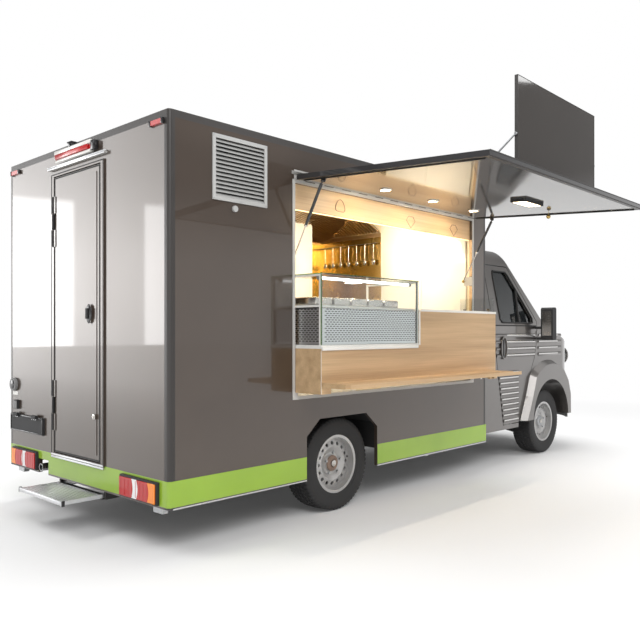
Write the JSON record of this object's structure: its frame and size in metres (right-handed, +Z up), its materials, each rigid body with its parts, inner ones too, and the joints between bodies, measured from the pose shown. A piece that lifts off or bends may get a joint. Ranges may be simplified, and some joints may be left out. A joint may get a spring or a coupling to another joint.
{
  "type": "food truck",
  "caption": "Box-bodied food truck with an open lift-up serving side, pull-out counter, folding shelf, glass food case, ribbed hinged-door cab, steered front wheels and rear step.",
  "frame": {"origin": "on the ground, on the truck's centre plane, midway between the axles", "axes": "+X forwards to the cab, +Y to the truck's left, +Z up; the serving side faces -Y"},
  "size_m": [6.178, 3.8559, 2.9205],
  "materials": {
    "paint": "gloss",
    "cab_paint": "gloss",
    "roof_paint": "satin",
    "profile_dark": "satin",
    "chassis": "satin",
    "tyre": "matte",
    "wheel": "satin",
    "alloy": "satin",
    "galvanised": "satin",
    "stainless": "brushed",
    "black_plastic": "matte",
    "gloss_black": "gloss",
    "lid_panel": "gloss",
    "oak": "satin",
    "white_panel": "satin",
    "lamp_red": "gloss",
    "lamp_clear": "gloss",
    "tinted_glass": "gloss",
    "clear_glass": "gloss",
    "seat_fabric": "matte",
    "dash_plastic": "matte"
  },
  "bodies": {
    "chassis": {"frame": "chassis", "rear_axle": "chassis", "engine": "galvanised", "fuel_tank": "black_plastic", "exhaust": "stainless", "box_floor": "chassis", "edge_profiles": "profile_dark", "roof_panel": "roof_paint", "side_wall_right": "paint", "side_wall_left": "paint", "louvre": "alloy", "front_wall": "paint", "rear_wall": "paint", "rear_lamps": "lamp_red", "rear_fittings": "black_plastic", "opening_trim": "profile_dark", "hood": "stainless", "kitchen_units": "white_panel", "cab_shell": "cab_paint", "cab_floor": "chassis", "dashboard": "dash_plastic", "seats": "seat_fabric", "windscreen": "tinted_glass", "fenders": "cab_paint", "headlamps": "lamp_clear", "nose": "cab_paint", "bumper": "black_plastic"},
    "rear_wheel_right": {"tyre_rear_right": "tyre", "wheel_rear_right": "wheel"},
    "rear_wheel_left": {"tyre_rear_left": "tyre", "wheel_rear_left": "wheel"},
    "front_wheel_right": {"tyre_front_right": "tyre", "wheel_front_right": "wheel"},
    "front_wheel_left": {"tyre_front_left": "tyre", "wheel_front_left": "wheel"},
    "knuckle_right": {"knuckle_right": "chassis"},
    "knuckle_left": {"knuckle_left": "chassis"},
    "cab_door_right": {"cab_door_right": "cab_paint", "door_glass_right": "tinted_glass", "mirror_right": "black_plastic"},
    "cab_door_left": {"cab_door_left": "cab_paint", "door_glass_left": "tinted_glass", "mirror_left": "black_plastic"},
    "rear_door": {"rear_door": "paint"},
    "bonnet": {"bonnet": "cab_paint"},
    "awning": {"awning": "lid_panel"},
    "strut_tubes": {"strut_tubes": "gloss_black"},
    "strut_rods": {"strut_rods": "galvanised"},
    "sign": {"sign": "gloss_black"},
    "sign_stays": {"sign_stays": "galvanised"},
    "counter": {"counter_case": "oak", "counter_top": "white_panel", "vitrine": "white_panel", "vitrine_glass": "clear_glass"},
    "shelf": {"shelf": "oak"},
    "step": {"step": "alloy"},
    "steady_rear_right": {"steady_rear_right": "galvanised"},
    "steady_rear_left": {"steady_rear_left": "galvanised"},
    "steady_front_right": {"steady_front_right": "galvanised"},
    "steady_front_left": {"steady_front_left": "galvanised"}
  },
  "joints": [
    {"name": "rear_wheel_right_spin", "type": "hinge", "parent": "chassis", "child": "rear_wheel_right", "pos_m": [-1.725, 0, 0.348], "axis": [0, 1, 0], "continuous": true},
    {"name": "rear_wheel_left_spin", "type": "hinge", "parent": "chassis", "child": "rear_wheel_left", "pos_m": [-1.725, 0, 0.348], "axis": [0, 1, 0], "continuous": true},
    {"name": "steer_left", "type": "hinge", "parent": "chassis", "child": "knuckle_left", "pos_m": [1.725, 0.8, 0.183], "axis": [0, -0.2178, 0.976], "range_deg": [-33, 33]},
    {"name": "steer_right", "type": "hinge", "parent": "chassis", "child": "knuckle_right", "pos_m": [1.725, -0.8, 0.183], "axis": [0, 0.2178, 0.976], "range_deg": [-33, 33]},
    {"name": "front_wheel_right_spin", "type": "hinge", "parent": "knuckle_right", "child": "front_wheel_right", "pos_m": [1.725, 0, 0.348], "axis": [0, 1, 0], "continuous": true},
    {"name": "front_wheel_left_spin", "type": "hinge", "parent": "knuckle_left", "child": "front_wheel_left", "pos_m": [1.725, 0, 0.348], "axis": [0, 1, 0], "continuous": true},
    {"name": "cab_door_right_hinge", "type": "hinge", "parent": "chassis", "child": "cab_door_right", "pos_m": [1.5, -1.025, 1], "axis": [0, 0, 1], "range_deg": [0, 70]},
    {"name": "cab_door_left_hinge", "type": "hinge", "parent": "chassis", "child": "cab_door_left", "pos_m": [1.5, 1.025, 1], "axis": [0, 0, -1], "range_deg": [0, 70]},
    {"name": "rear_door_hinge", "type": "hinge", "parent": "chassis", "child": "rear_door", "pos_m": [-3.282, 0.326, 1.4], "axis": [0, 0, -1], "range_deg": [0, 110]},
    {"name": "bonnet_hinge", "type": "hinge", "parent": "chassis", "child": "bonnet", "pos_m": [2.04, 0, 1.303], "axis": [0, -1, 0], "range_deg": [0, 55]},
    {"name": "awning_hinge", "type": "hinge", "parent": "chassis", "child": "awning", "pos_m": [0, -1.107, 2.396], "axis": [1, 0, 0], "range_deg": [0, 86.5]},
    {"name": "strut_swing", "type": "hinge", "parent": "awning", "child": "strut_tubes", "pos_m": [0, -1.325, 2.3566], "axis": [1, 0, 0], "range_deg": [-107, 0]},
    {"name": "strut_slide", "type": "slide", "parent": "strut_tubes", "child": "strut_rods", "axis": [0, 0.4873, -0.8732], "range_m": [-0.2565, 0]},
    {"name": "counter_slide", "type": "slide", "parent": "chassis", "child": "counter", "axis": [0, 1, 0], "range_m": [0, 0.2905]},
    {"name": "shelf_fold", "type": "hinge", "parent": "counter", "child": "shelf", "pos_m": [0, -1.346, 0.998], "axis": [-1, 0, 0], "range_deg": [0, 90.1]},
    {"name": "sign_fold", "type": "hinge", "parent": "awning", "child": "sign", "pos_m": [0, -2.47238, 2.36058], "axis": [-1, 0, 0], "range_deg": [0, 86.5]},
    {"name": "sign_stay_fold", "type": "hinge", "parent": "sign", "child": "sign_stays", "pos_m": [0, -2.47238, 2.56058], "axis": [1, 0, 0], "range_deg": [0, 128.5]},
    {"name": "step_slide", "type": "slide", "parent": "chassis", "child": "step", "axis": [1, 0, 0], "range_m": [0, 0.25]},
    {"name": "steady_rear_right_drop", "type": "hinge", "parent": "chassis", "child": "steady_rear_right", "pos_m": [-2.92, -0.943, 0.268], "axis": [0, -1, 0], "range_deg": [0, 50]},
    {"name": "steady_rear_left_drop", "type": "hinge", "parent": "chassis", "child": "steady_rear_left", "pos_m": [-2.92, 0.943, 0.268], "axis": [0, -1, 0], "range_deg": [0, 50]},
    {"name": "steady_front_right_drop", "type": "hinge", "parent": "chassis", "child": "steady_front_right", "pos_m": [-0.215, -0.943, 0.268], "axis": [0, -1, 0], "range_deg": [0, 50]},
    {"name": "steady_front_left_drop", "type": "hinge", "parent": "chassis", "child": "steady_front_left", "pos_m": [-0.215, 0.943, 0.268], "axis": [0, -1, 0], "range_deg": [0, 50]}
  ],
  "couplings": [
    {"joint": "steer_right", "follows": "steer_left", "ratio": 1},
    {"joint": "strut_swing", "follows": "awning_hinge", "ratio": -1.2277},
    {"joint": "strut_slide", "follows": "awning_hinge", "m_per_rad": -0.16883},
    {"joint": "counter_slide", "follows": "awning_hinge", "m_per_rad": 0.19209},
    {"joint": "shelf_fold", "follows": "awning_hinge", "ratio": 1.0405},
    {"joint": "sign_stay_fold", "follows": "sign_fold", "ratio": 1.4837}
  ]
}
